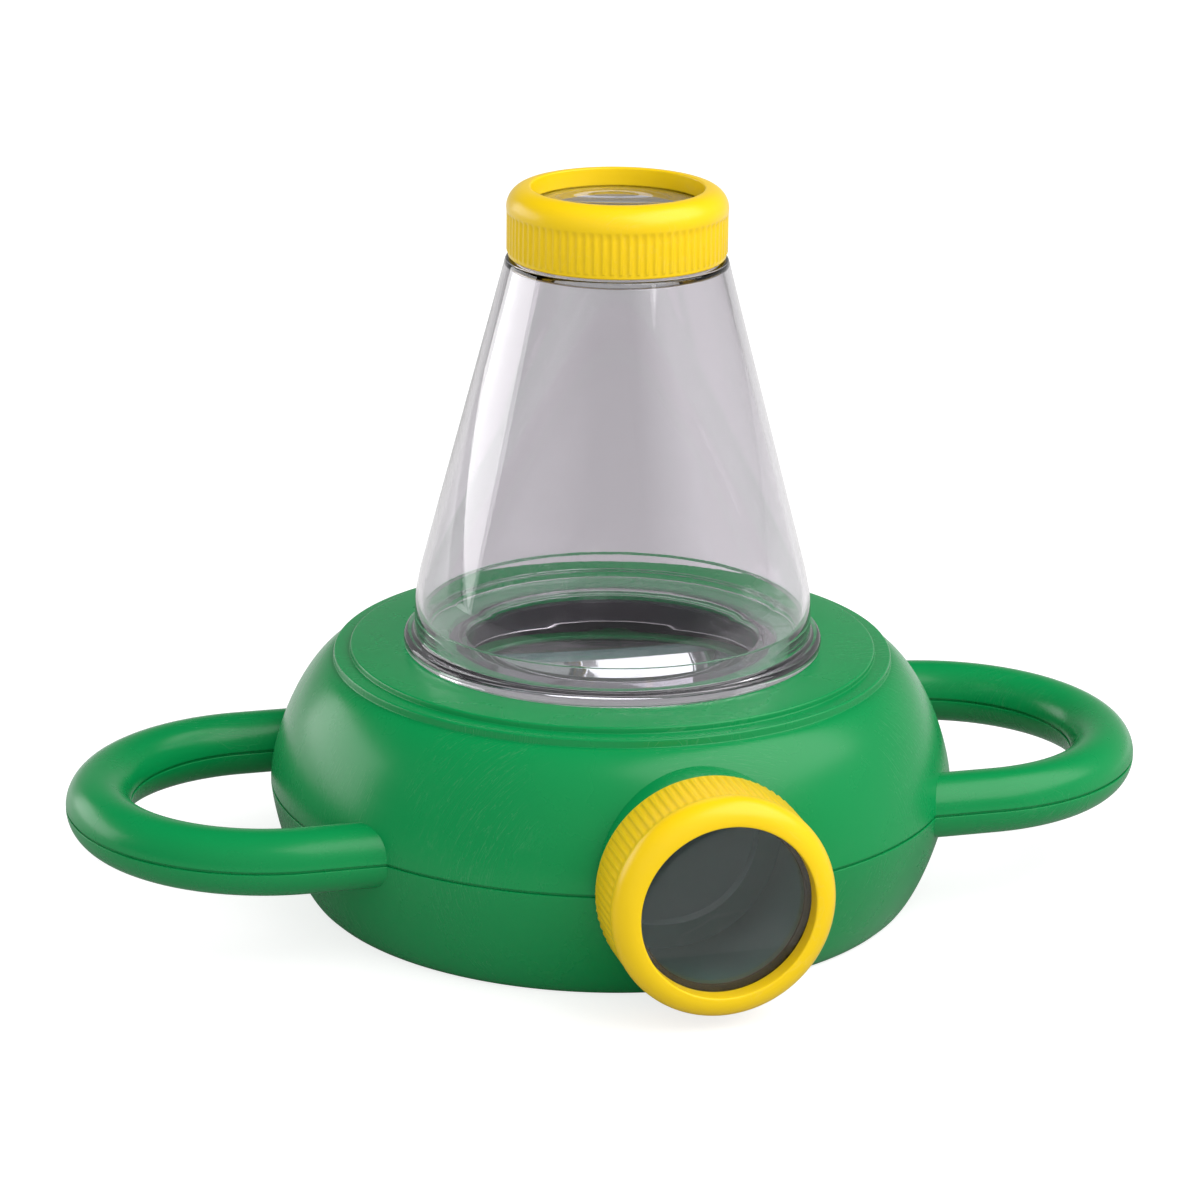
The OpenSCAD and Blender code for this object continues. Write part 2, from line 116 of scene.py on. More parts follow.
class BodySizes(bpy.types.PropertyGroup):
    """Sizes of the two green shells"""

    radius: length("Body radius", 75, "Radius at the seam")
    base_radius: length("Underside radius", 65.8, "Radius of the flat underside")
    dome_radius: length("Dome's upper radius", 61, "Radius of the dome's upper end")
    dome_top: length("Dome's top", 52.5, "Height of the dome's upper end")
    step_top: length("Lower step", 54.3, "Height of the lower step")
    ledge_radius: length("Ledge radius", 57.4, "Radius of the ledge under the jar")
    well_radius: length("Well radius", 36.3, "Radius of the well in the ledge")
    well_wall: length("Well wall", 2, "Wall of the well")
    shelf_radius: length("Shelf radius", 31.5, "Inner radius of the window's shelf")
    shelf_top: length("Shelf top", 45.7, "Height of that shelf")
    shelf: length("Shelf", 1.8, "Thickness of that shelf")
    wall: length("Shell wall", 2.2, "Wall of both shells")
    floor: length("Floor", 2.4, "Thickness of the floor")
    groove: length("Seam groove", 0.55, "Depth and height of the groove along the seam")
    handle_radius: length("Handle radius", 7, "Radius of the handle tube")
    handle_wall: length("Handle wall", 2, "Wall of the handle tube")
    arm: length("Handle arm", 37.3, "Distance of an arm from the X axis")
    boss_radius: length("Boss radius", 22.7, "Radius of the eyepiece boss")
    boss_bore: length("Boss bore", 20.6, "Radius of the bore in the boss")
    boss: length("Boss", 15.4, "Length of the boss")
    post: length("Post radius", 4.8, "Radius of the screw posts")
    post_place: length("Post place", 39.598, "Distance of the posts along X and along Y")
    dome_curve: setting("Dome curve", 1.53, "Exponent of the dome's outline")
    bowl_curve: setting("Bowl curve", 1.38, "Exponent of the bowl's outline")


class JarSizes(bpy.types.PropertyGroup):
    """Sizes of the clear jar and of both threaded necks"""

    skirt_radius: length("Skirt radius", 43.3, "Radius of the upright skirt")
    skirt: length("Skirt", 11.8, "Height of the skirt above the ledge")
    shoulder: length("Shoulder", 141.8, "Height of the cone's upper end")
    shoulder_radius: length("Shoulder radius", 23.8, "Radius of the cone's upper end")
    wall: length("Jar wall", 1.7, "Wall of the jar")
    flange: length("Flange", 2.7, "Thickness of the flange")
    gap: length("Seat gap", 0.1, "Gap between ledge and flange")
    floor: length("Floor ring", 1.9, "Thickness of the floor ring in the skirt")
    band: length("Band", 7.6, "Height of the thicker band in the skirt")
    band_width: length("Band width", 0.7, "Extra thickness of that band")
    foot_radius: length("Foot radius", 33.8, "Radius of the foot that plugs into the well")
    foot_wall: length("Foot wall", 1.6, "Wall of the foot")
    neck_radius: length("Neck radius", 20.5, "Radius of a threaded neck")
    neck_bore: length("Neck bore", 18.7, "Inner radius of a neck")
    neck: length("Neck", 7, "Length of a neck before its ring's rear edge")
    turns: setting("Steps round", 192, "Steps round each turned piece", IntProperty, min=48)


class RingSizes(bpy.types.PropertyGroup):
    """Sizes of the two screw rings, their threads and lenses"""

    radius: length("Ring radius", 23.7, "Radius of the rounded roll at the front")
    depth: length("Ring depth", 15, "Depth from the rear edge to the crest")
    roll: length("Roll radius", 4.5, "Radius of the roll's rounding")
    side_radius: length("Side radius", 23.3, "Radius of the side between its ribs")
    bore_radius: length("Bore radius", 21.85, "Radius of the threaded bore")
    hole_radius: length("Hole radius", 18.5, "Radius of the hole at the front")
    seat_radius: length("Seat radius", 19.6, "Radius of the lens seat")
    seat_low: length("Seat's low end", 7.5, "Seat's low end, from the rear edge")
    lip_low: length("Lip", 11.1, "Lens lip, from the rear edge")
    rib: length("Rib height", 0.3, "Height of a grip rib")
    rib_start: length("Rib start", 0.9, "Ribs' start, from the rear edge")
    thread_height: length("Thread height", 1.1, "Height of a thread ridge")
    thread_root: length("Thread root", 1.9, "Width of a ridge at its root")
    thread_crest: length("Thread crest", 0.9, "Width of a ridge at its crest")
    pitch: length("Thread pitch", 4, "Rise of the thread in one turn")
    lens_curve: length("Lens curve", 110, "Radius of curvature of each lens face")
    lens_edge: length("Lens edge", 1.6, "Thickness of a lens at its edge")
    ribs: setting("Ribs", 80, "Number of ribs round a ring", IntProperty, min=12)
    thread_turns: setting("Thread turns", 0.9, "Turns of each ridge")


class Colours(bpy.types.PropertyGroup):
    """Colours of the mouldings"""

    green: tint("Green", (0.002, 0.275, 0.070), "Shells")
    yellow: tint("Yellow", (0.950, 0.635, 0.002), "Screw rings")
    clear: tint("Clear", (0.895, 0.869, 0.903), "Tint of the jar's clear plastic")
    lens: tint("Lens", (0.960, 0.975, 0.980), "Tint of the lenses")
    black: tint("Black", (0.010, 0.011, 0.012), "Rings inside")
    slate: tint("Slate", (0.045, 0.150, 0.120), "Dark sea green of the light box and the tube")
    silver: tint("Silver", (0.900, 0.910, 0.915), "Silvering of the mirror")
    zinc: tint("Zinc", (0.560, 0.565, 0.580), "Zinc plating of the screws")


class StageSettings(bpy.types.PropertyGroup):
    """Camera, floor and room light"""

    azimuth: angle("Azimuth", -15.64, "The camera's turn about the upright axis")
    elevation: angle("Elevation", 17.82, "The camera's angle above the floor")
    roll: angle("Roll", 0.71, "The camera's turn about its own axis")
    distance: length("Distance", 930.04, "Distance of the point that it looks at")
    target: length("Target height", 64.99, "Height of that point on the upright axis")
    focal: setting("Focal length", 127.638, "Focal length on a 36 mm sensor")
    shift: setting("Shift", -0.01066, "Sideways lens shift")
    floor_tone: share("Floor tone", 0.45, "Grey of the floor under the object")
    floor_glow: share("Floor glow", 0.75, "Light that the floor adds for the camera")
    floor_through: share("Floor through plastic", 0.145, "Light that it adds behind clear plastic")
    # painted light: extra glow of the floor seen through clear plastic, on the right and a third of it on the
    # left
    floor_side: share("Floor beside", 0.22, "What it gains on the right, and a third of it on the left")
    # painted reflection: glow of the floor's rear that only gloss shows
    floor_sheen: share("Floor in gloss", 0.45, "Light that the floor's rear adds in gloss")
    ambient: share("Ambient", 0.56, "Light of the room from all sides")
    front: share("Front light", 0.78, "What the room adds in front and takes away behind")
    back: share("Back light", 0.25, "The room's least light behind the object")
    horizon: share("Horizon", 0.40, "Light behind clear plastic, near the horizon")
    overhead: share("Overhead", 0.42, "The same, overhead")
    gloss: share("Gloss", 0.60, "Light in gloss, from behind and the right")


def chosen(name):
    """The sizes, colours or settings of one of the scene's property groups."""
    return getattr(bpy.context.scene, "viewer_" + name)


# Outlines

def corner_arc(before, corner, after, radius):
    """Points that round one corner of an outline."""
    a, c, b = Vector(before), Vector(corner), Vector(after)
    to_a, to_b = (a - c).normalized(), (b - c).normalized()
    half = to_a.angle(to_b) / 2
    if radius <= 0 or half > radians(89):
        return [tuple(c)]
    centre = c + (to_a + to_b).normalized() * (radius / sin(half))
    start, end = c + to_a * (radius / tan(half)), c + to_b * (radius / tan(half))
    sweep = pi - 2 * half
    steps = max(2, round(degrees(sweep) / 15))
    from_centre = start - centre
    turn = 1 if from_centre.cross(end - centre) > 0 else -1
    angles = [turn * sweep * i / steps for i in range(steps + 1)]
    return [tuple(centre + Matrix.Rotation(a, 2) @ from_centre) for a in angles]


def rounded(corners):
    """Outline through (r, z) or (r, z, rounding) corners, each rounded by its own radius."""
    points = []
    for before, corner, after in zip(corners[-1:] + corners, corners, corners[1:] + corners[:1]):
        points += corner_arc(before[:2], corner[:2], after[:2], corner[2] if len(corner) > 2 else 0)
    return points


def shell_curve(wide, end, low, rise, exponent, steps=44):
    """Rounded outline from the widest radius at the seam to its end."""
    turns = [pi / 2 * i / steps for i in range(steps + 1)]
    return [(end + (wide - end) * cos(t) ** (2 / exponent) if i < steps else end,
             low + rise * sin(t) ** (2 / exponent)) for i, t in enumerate(turns)]


def arc(centre_r, centre_z, radius, start, stop, steps):
    """Points of an arc between two angles in degrees."""
    angles = [radians(start + (stop - start) * i / steps) for i in range(steps + 1)]
    return [(centre_r + radius * cos(a), centre_z + radius * sin(a)) for a in angles]


# Meshes

def new_object(name, data):
    """An object, linked into the scene."""
    thing = bpy.data.objects.new(name, data)
    bpy.context.scene.collection.objects.link(thing)
    return thing


def new_piece(name, verts, faces, place=None):
    """A closed mesh object, linked into the scene and moved by a matrix."""
    mesh = bpy.data.meshes.new(name)
    mesh.from_pydata([tuple(v) for v in verts], [], faces)
    if place is not None:
        mesh.transform(place)
    mesh.validate()
    return new_object(name, mesh)


def lathe(name, outline, turns, place=None, bump=None):
    """Turns a closed outline of (r, z) points, anticlockwise, about the Z axis.
    bump(index, angle) gives what it adds to a point's radius."""
    verts, rings = [], []
    for index, (r, z) in enumerate(outline):
        points = turns if r > 1e-7 else 1
        rings.append(range(len(verts), len(verts) + points))
        for k in range(points):
            angle = 2 * pi * k / turns
            reach = r + (bump(index, angle) if bump else 0)
            verts.append((reach * cos(angle), reach * sin(angle), z))
    faces = []
    for low, high in zip(rings, rings[1:] + rings[:1]):
        for k in range(max(len(low), len(high))):
            n = (k + 1) % turns
            around = low[k % len(low)], low[n % len(low)], high[n % len(high)], high[k % len(high)]
            faces.append(tuple(dict.fromkeys(around)))  # a triangle at the axis
    return new_piece(name, verts, [face for face in faces if len(face) > 2], place)


def loft(name, sections, place=None):
    """Closed mesh over a row of closed sections that have equal numbers of points."""
    size, last = len(sections[0]), len(sections) - 1
    faces = [tuple(range(size)), tuple(range(last * size, (last + 1) * size))]
    for i in range(last):
        for k in range(size):
            a, b = i * size + k, i * size + (k + 1) % size
            faces.append((a, a + size, b + size, b))
    piece = new_piece(name, [point for section in sections for point in section], faces, place)
    outward(piece)
    return piece


def sweep(name, section, path, place=None):
    """Carries a closed section of (outward, up) points along a level path of
    ((x, y), (normal x, normal y)) stations."""
    return loft(name, [[(x + nx * out, y + ny * out, up) for out, up in section]
                       for (x, y), (nx, ny) in path], place)


def outward(piece, bevel=0):
    """Turns all the faces of a closed mesh outward, and rounds its edges if asked to."""
    work = bmesh.new()
    work.from_mesh(piece.data)
    bmesh.ops.recalc_face_normals(work, faces=work.faces)
    if bevel:
        bmesh.ops.bevel(work, geom=work.edges[:], offset=bevel, segments=2, affect="EDGES", profile=0.5)
    work.to_mesh(piece.data)
    work.free()


def cylinder(name, radius, low, high, turns=48, place=None):
    """A closed cylinder about the Z axis."""
    return lathe(name, [(0, low), (radius, low), (radius, high), (0, high)], turns, place)


def pin(name, radius, low, high, places):
    """Upright cylinders of one size at several places, as one mesh."""
    return joined([cylinder(name, radius, low, high, place=Matrix.Translation((x, y, 0)))
                   for x, y in places])


def joined(pieces):
    """One mesh object from several that don't touch."""
    with bpy.context.temp_override(active_object=pieces[0], object=pieces[0],
                                   selected_editable_objects=pieces, selected_objects=pieces):
        bpy.ops.object.join()
    return pieces[0]


def combine(piece, other, operation):
    """Adds, cuts or keeps what another closed mesh covers, and deletes that mesh."""
    step = piece.modifiers.new(operation, "BOOLEAN")
    step.object, step.operation, step.solver = other, operation, "MANIFOLD"
    bpy.context.view_layer.update()
    result = bpy.data.meshes.new_from_object(piece.evaluated_get(bpy.context.evaluated_depsgraph_get()))
    if not result.polygons:
        raise RuntimeError(f"{piece.name}: {operation} with {other.name} left nothing")
    piece.modifiers.clear()
    old, piece.data = piece.data, result
    for spent in (old, other.data):  # a mesh takes the object that uses it with it
        bpy.data.meshes.remove(spent)
    return piece


def add(piece, *others):
    """Fuses other meshes to a piece."""
    for other in others:
        combine(piece, other, "UNION")


def cut(piece, *others):
    """Cuts other meshes out of a piece."""
    for other in others:
        combine(piece, other, "DIFFERENCE")


def keep(piece, other):
    """Keeps only what a piece shares with another mesh."""
    return combine(piece, other, "INTERSECT")


def slab(name, low, high):
    """A closed block between two corners, for trimming."""
    corners = [(x, y, z) for z in (low[2], high[2]) for y in (low[1], high[1]) for x in (low[0], high[0])]
    faces = [(0, 2, 3, 1), (4, 5, 7, 6), (0, 1, 5, 4), (2, 6, 7, 3), (0, 4, 6, 2), (1, 3, 7, 5)]
    return new_piece(name, corners, faces)


def finish_piece(piece, finish, body, node, crease=32):
    """Smooths a piece, gives it its finish, and sets it on its body in place of its node."""
    piece.data.shade_smooth()
    piece.data.set_sharp_from_angle(angle=radians(crease))
    piece.data.materials.clear()
    piece.data.materials.append(material_named(finish))
    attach(piece, body)
    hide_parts(node)


# Shader parts

def feed(tree, node, inputs):
    """Sets a node's inputs, by label or number, to sockets or plain values. A plain colour has
    three numbers."""
    for label, value in inputs.items():
        socket = node.inputs[label]
        if isinstance(value, Value):
            value = value.socket
        if isinstance(value, bpy.types.NodeSocket):
            tree.links.new(value, socket)
        else:
            socket.default_value = (*value, 1) if socket.type == "RGBA" else value


def add_node(tree, kind, inputs=None, **settings):
    """A new shader node, with its settings and then its inputs."""
    node = tree.nodes.new("ShaderNode" + kind)
    for name, value in settings.items():
        setattr(node, name, value)
    feed(tree, node, inputs or {})
    return node


class Value:
    """A socket's value. Each step of its arithmetic adds a Math node to the tree."""

    def __init__(self, tree, socket):
        self.tree, self.socket = tree, socket

    def math(self, operation, *others):
        """The result of a Math node that starts with this value."""
        node = add_node(self.tree, "Math", dict(enumerate((self, *others))), operation=operation)
        return Value(self.tree, node.outputs[0])

    def clamped(self):
        """This result, kept from 0 to 1."""
        self.socket.node.use_clamp = True
        return self

    __add__ = partialmethod(math, "ADD")
    __sub__ = partialmethod(math, "SUBTRACT")
    __mul__ = partialmethod(math, "MULTIPLY")
    __truediv__ = partialmethod(math, "DIVIDE")


def values_of(tree, node):
    """A node's outputs by name."""
    return {socket.name: Value(tree, socket) for socket in node.outputs}


def coordinates(tree, kind="Object"):
    """A texture coordinate's socket."""
    return add_node(tree, "TexCoord").outputs[kind]


def axes(tree, kind="Object"):
    """The X, Y and Z values of a texture coordinate."""
    split = add_node(tree, "SeparateXYZ", {"Vector": coordinates(tree, kind)})
    return [Value(tree, socket) for socket in split.outputs]


def new_group(name, inputs, outputs):
    """An empty node group with named values: {label: default} in, labels out. Returns it with
    its values in and its output node."""
    group = bpy.data.node_groups.new(name, "ShaderNodeTree")
    new_socket = partial(group.interface.new_socket, socket_type="NodeSocketFloat")
    for label, default in inputs.items():
        new_socket(name=label, in_out="INPUT").default_value = default
    for label in outputs:
        new_socket(name=label, in_out="OUTPUT")
    given = values_of(group, group.nodes.new("NodeGroupInput"))
    return group, given, group.nodes.new("NodeGroupOutput")


def noise(tree, vector, scale, detail, roughness=0.5):
    """A Noise texture's value, from 0 to 1."""
    node = add_node(tree, "TexNoise", {"Vector": vector, "Scale": scale, "Detail": detail,
                                       "Roughness": roughness})
    return Value(tree, node.outputs["Fac"])


def moulded_skin(name):
    """Orange-peel grain, slow flow waves and a soft mottle of an injection moulding."""
    group, given, result = new_group(
        name, {"Grain scale": 1800, "Flow scale": 45, "Flow share": 0.6, "Roughness": 0.3, "Spread": 0.08},
        ("Roughness", "Height", "Mottle"))
    place = coordinates(group)
    grain = noise(group, place, given["Grain scale"], 2)
    flow = noise(group, place, given["Flow scale"], 3, 0.45)
    feed(group, result, {"Roughness": (flow - 0.5) * given["Spread"] + given["Roughness"],
                         "Height": flow * given["Flow share"] + grain, "Mottle": flow})
    return group


def handling_marks(name):
    """Hairline scratches in two directions and faint finger smudges."""
    group, given, result = new_group(name, {"Scale": 60, "Hairlines": 0.5, "Smudges": 0.5},
                                     ("Hairlines", "Smudges"))
    place = coordinates(group)
    thinness, stretch = 90.0, (1, 26, 1.6)
    lines = []
    for turn in (0.5, -1.1):
        along = add_node(group, "Mapping", {"Vector": place, "Rotation": (turn, turn * 0.7, turn),
                                            "Scale": stretch})
        streak = noise(group, along.outputs["Vector"], given["Scale"], 2, 0.4)
        away = (streak - 0.5).math("ABSOLUTE")
        lines.append((away * -thinness + 1.0).clamped())
    patch_scale, patch_edge = 0.55, 8.0
    patch = ((noise(group, place, given["Scale"] * patch_scale, 2) - 0.5) * patch_edge).clamped()
    smear_scale, smear_start, smear_edge = 1.4, 0.48, 4.0
    smear = noise(group, place, given["Scale"] * smear_scale, 4, 0.6)
    soft = ((smear - smear_start) * smear_edge).clamped()
    feed(group, result, {"Hairlines": lines[0].math("MAXIMUM", lines[1]) * patch * given["Hairlines"],
                         "Smudges": soft * given["Smudges"]})
    return group


def spaced(values):
    """Socket values with spaces for the underscores in their labels."""
    return {label.replace("_", " "): value for label, value in values.items()}


def use_group(tree, build, **values):
    """Places a node group in a material with its own values, and returns what it puts out. The
    group is built the first time that it is used."""
    name = build.__name__.replace("_", " ").capitalize()
    group = bpy.data.node_groups.get(name) or build(name)
    return values_of(tree, add_node(tree, "Group", spaced(values), node_tree=group))


def new_material(name, **constants):
    """A material with one Principled shader, whose plain sockets are set directly."""
    material = bpy.data.materials.new(name)
    material.use_nodes = True
    shader = material.node_tree.nodes["Principled BSDF"]
    feed(material.node_tree, shader, spaced(constants))
    return material, material.node_tree, shader


def two_tones(tree, factor, first, second):
    """A colour that runs between two."""
    mix = add_node(tree, "Mix", {"Factor": factor, "A": first, "B": second}, data_type="RGBA")
    return mix.outputs["Result"]


def bump(tree, height, distance):
    """A Bump node's normal."""
    return add_node(tree, "Bump", {"Height": height, "Distance": distance, "Strength": 1.0}).outputs["Normal"]


def toned(colour, share_of):
    """A colour made lighter or darker."""
    return tuple(min(1.0, c * share_of) for c in colour)


def worn(rough, wear, smudge, scratch):
    """A roughness, with what smudges and scratches add to it."""
    return wear["Smudges"] * smudge + wear["Hairlines"] * scratch + rough


# Finishes of the mouldings: colour, roughness, its spread, grain depth and the mottle's contrast
MOULDINGS = {"moulded_green": ("green", 0.27, 0.06, 0.006 * MM, 0.05),
             "moulded_yellow": ("yellow", 0.30, 0.06, 0.006 * MM, 0.04),
             "moulded_black": ("black", 0.30, 0.08, 0.001 * MM, 0.25),
             "moulded_slate": ("slate", 0.38, 0.10, 0.001 * MM, 0.20)}


def moulded_plastic(name, tone, roughness, spread, grain_depth, contrast):
    """Coloured plastic as it leaves a mould, with grain, flow waves, smudges and hairlines."""
    colour, marks, scratch_share = getattr(chosen("colours"), tone), 0.25, 0.10
    material, tree, shader = new_material(name, IOR=1.42)
    skin = use_group(tree, moulded_skin, Roughness=roughness, Spread=spread)
    wear = use_group(tree, handling_marks, Hairlines=marks, Smudges=marks)
    mottled = two_tones(tree, skin["Mottle"], toned(colour, 1 - contrast), toned(colour, 1 + contrast))
    scratch = [c + (1 - c) * scratch_share for c in colour]
    feed(tree, shader, {"Base Color": two_tones(tree, wear["Hairlines"], mottled, scratch),
                        "Roughness": worn(skin["Roughness"], wear, smudge=0.06, scratch=0.12),
                        "Normal": bump(tree, skin["Height"], grain_depth)})
    return material


# Finishes of the clear pieces: colour, IOR, roughness, marks, ripple, tone of the light let through
# and haze of the skirt
CLEAR = {"clear_moulding": ("clear", 1.55, 0.015, 0.5, 0.004 * MM, 1.05, 0.012),
         "clear_lens": ("lens", 1.49, 0.006, 0.3, 0.001 * MM, 1.0, 0)}


def see_through(name, tone, ior, roughness, marks, ripple, passing_tone, haze):
    """Clear plastic that lets lamp light through to what is behind it."""
    colour = getattr(chosen("colours"), tone)
    material, tree, shader = new_material(name, Base_Color=colour, Transmission_Weight=1.0, IOR=ior)
    skin = use_group(tree, moulded_skin, Roughness=roughness, Spread=roughness, Flow_scale=30,
                     Grain_scale=300)
    wear = use_group(tree, handling_marks, Hairlines=marks, Smudges=marks)
    rough = worn(skin["Roughness"], wear, smudge=0.03, scratch=0.10).clamped()
    feed(tree, shader, {"Roughness": rough, "Normal": bump(tree, skin["Height"], ripple)})
    clear = shader.outputs["BSDF"]
    if haze:
        clear = hazy_below(tree, clear, LEDGE_Z + chosen("jar").skirt, haze)
    passing = add_node(tree, "BsdfTransparent", {"Color": toned(colour, passing_tone)})
    mix = add_node(tree, "MixShader", {0: add_node(tree, "LightPath").outputs["Is Shadow Ray"],
                                       1: clear, 2: passing.outputs["BSDF"]})
    feed(tree, tree.nodes["Material Output"], {"Surface": mix.outputs["Shader"]})
    return material


def hazy_below(tree, clear, top, haze):
    """Mixes a pale matt shader into a clear one, below a height and fading out above it."""
    up, fade = axes(tree)[2], 6 * MM
    amount = ((up * -1.0 + (top + fade)) / fade).clamped() * haze
    matt = add_node(tree, "BsdfDiffuse", {"Color": (0.88, 0.87, 0.90)})
    return add_node(tree, "MixShader", {0: amount, 1: clear, 2: matt.outputs["BSDF"]}).outputs["Shader"]


def mirror_silver():
    """Silvered plate with faint dust and hairlines."""
    colour = chosen("colours").silver
    material, tree, shader = new_material("silvered_glass", Metallic=1.0)
    wear = use_group(tree, handling_marks, Hairlines=0.6, Smudges=0.6)
    feed(tree, shader, {"Base Color": two_tones(tree, wear["Smudges"], colour, toned(colour, 0.93)),
                        "Roughness": worn(0.012, wear, smudge=0.05, scratch=0.08)})
    return material


def screw_zinc():
    """Zinc-plated steel with turning marks."""
    colour = chosen("colours").zinc
    material, tree, shader = new_material("zinc_steel", Metallic=1.0)
    skin = use_group(tree, moulded_skin, Roughness=0.34, Spread=0.2, Grain_scale=2600, Flow_scale=400)
    turned = two_tones(tree, skin["Mottle"], toned(colour, 0.85), toned(colour, 1.1))
    feed(tree, shader, {"Base Color": turned, "Roughness": skin["Roughness"],
                        "Normal": bump(tree, skin["Height"], 0.01 * MM)})
    return material


def material_named(name):
    """The finish of that name, made the first time that it is asked for."""
    if name in bpy.data.materials:
        return bpy.data.materials[name]
    if name in MOULDINGS:
        return moulded_plastic(name, *MOULDINGS[name])
    if name in CLEAR:
        return see_through(name, *CLEAR[name])
    return {"silvered_glass": mirror_silver, "zinc_steel": screw_zinc}[name]()


# Shells

def handle_path(body):
    """Stations along one loop's centre line, from its near arm round to its far arm."""
    centre, root = UPPER_HIGH.x - body.handle_radius - body.arm, body.ledge_radius
    turns = 72
    loop = [radians(-90 + 180 * i / turns) for i in range(turns + 1)]
    bend = [((centre + body.arm * cos(a), body.arm * sin(a)), (cos(a), sin(a))) for a in loop]
    return [((root, -body.arm), (0, -1)), *bend, ((root, body.arm), (0, 1))]


def half_tube(upper, radius, groove):
    """Half section of the handle, above or below the seam. With a groove its edge at the
    seam steps in, and without one it runs past the seam so that it can cut."""
    side = 1 if upper else -1
    steps, past = 40, 1 * MM
    if groove:
        first = degrees(asin(groove / 2 / radius))
        edge = radius * cos(radians(first))
        inner = [(-radius + groove, 0), (radius - groove, 0), (radius - groove, groove / 2)]
        rim = arc(0, 0, radius, first, 180 - first, steps)
        section = rounded([*inner, (*rim[0], groove / 3), *rim[1:-1], (*rim[-1], groove / 3),
                           (-edge + groove, groove / 2)])
    else:
        section = [(-radius, -past), (radius, -past)] + arc(0, 0, radius, 0, 180, steps)
    return [(out, SEAM_Z + side * up) for out, up in section]


def handles(name, body, upper, radius, groove):
    """Both loops' halves, as one mesh."""
    section, path = half_tube(upper, radius, groove), handle_path(body)
    return joined([sweep(name, section, path, place) for place in (None, Matrix.Scale(-1, 4, (1, 0, 0)))])


def eyepiece_boss(body, upper):
    """Half of the boss that the eyepiece's tube passes through."""
    face, edge = -EYE_SKIRT - RING_GAP, 0.3 * MM
    outline = rounded([(0, face - body.boss), (body.boss_radius, face - body.boss),
                       (body.boss_radius, face, edge), (0, face)])
    boss = lathe("boss", outline, SMALL_ROUND, EYEPIECE_TURN)
    reach = 2 * body.radius
    low, high = (SEAM_Z, reach) if upper else (-reach, SEAM_Z)
    return keep(boss, slab("half", (-reach, -reach, low), (reach, reach, high)))


def boss_bore(body):
    """What the boss's bore cuts out of both shells."""
    low, high = -EYE_SKIRT - RING_GAP - body.boss - 1 * MM, 1 * MM
    return cylinder("boss_bore", body.boss_bore, low, high, SMALL_ROUND, EYEPIECE_TURN)


def post_places(body):
    """Where the four posts stand."""
    return [(x * body.post_place, y * body.post_place) for x in (-1, 1) for y in (-1, 1)]


def inner_curve(body, upper, wall):
    """Outline of the dome's or the bowl's inside, when its wall is this thick."""
    end, height, curve = ((body.dome_radius, body.dome_top - wall, body.dome_curve) if upper
                          else (body.base_radius, body.floor, body.bowl_curve))
    return shell_curve(body.radius - wall, end - wall, SEAM_Z, height - SEAM_Z, curve)


def shell_hollow(body, upper, wall):
    """The space inside one shell, when its wall is this thick. It runs 1 mm past the seam."""
    past, r = 1 * MM, body.radius - wall
    curve = inner_curve(body, upper, wall)
    if upper:
        outline = [(0, SEAM_Z - past), (r, SEAM_Z - past), *curve,
                   (body.ledge_radius - wall, body.dome_top - wall),
                   (body.ledge_radius - wall, LEDGE_Z - wall), (0, LEDGE_Z - wall)]
    else:
        outline = [(0, body.floor), *reversed(curve), (r, SEAM_Z + past), (0, SEAM_Z + past)]
    return lathe("hollow", outline, ROUND)


def attachments(body, upper):
    """One shell's halves of both handles, the space in them, and its half of the boss."""
    loops = handles("loops", body, upper, body.handle_radius, body.groove)
    cut(loops, shell_hollow(body, upper, body.wall / 2))
    space = handles("loop_space", body, upper, body.handle_radius - body.handle_wall, 0)
    return loops, space, eyepiece_boss(body, upper)


def upper_shell():
    """Green dome with stepped ledge, well, shelf, boss, screw posts and half of both handles."""
    body = chosen("body")
    r, w, g, ledge = body.radius, body.wall, body.groove, body.ledge_radius
    soft, fine = 0.5 * MM, 0.3 * MM
    dome = shell_curve(r, body.dome_radius, SEAM_Z, body.dome_top - SEAM_Z, body.dome_curve)
    well_out, shelf_low = body.well_radius + body.well_wall, body.shelf_top - body.shelf
    corners = [(r - g, SEAM_Z), (r - g, SEAM_Z + g / 2), (r, SEAM_Z + g / 2, g / 3)]
    corners += [p for p in dome[:-1] if p[1] > SEAM_Z + g]
    corners += [(body.dome_radius, body.dome_top, fine), (body.dome_radius, body.step_top, soft),
                (ledge, body.step_top, fine), (ledge, LEDGE_Z, soft), (body.well_radius, LEDGE_Z, soft),
                (body.well_radius, body.shelf_top, fine), (body.shelf_radius, body.shelf_top, fine),
                (body.shelf_radius, shelf_low, fine), (well_out, shelf_low, fine),
                (well_out, LEDGE_Z - w, fine), (ledge - w, LEDGE_Z - w, fine), (ledge - w, body.dome_top - w)]
    corners += reversed(inner_curve(body, True, w)[:-1])
    shell = lathe("upper_shell_moulding", rounded(corners), ROUND)
    loops, space, boss = attachments(body, True)
    places = post_places(body)
    posts = pin("posts", body.post, SEAM_Z + 0.1 * MM, LEDGE_Z, places)
    keep(posts, shell_hollow(body, True, w / 2))
    add(shell, loops, boss, posts)
    cut(shell, space, boss_bore(body), pin("pilots", PILOT_RADIUS, SEAM_Z - 1 * MM, SEAM_Z + 9 * MM, places))
    finish_piece(shell, "moulded_green", "base", "upper_shell")


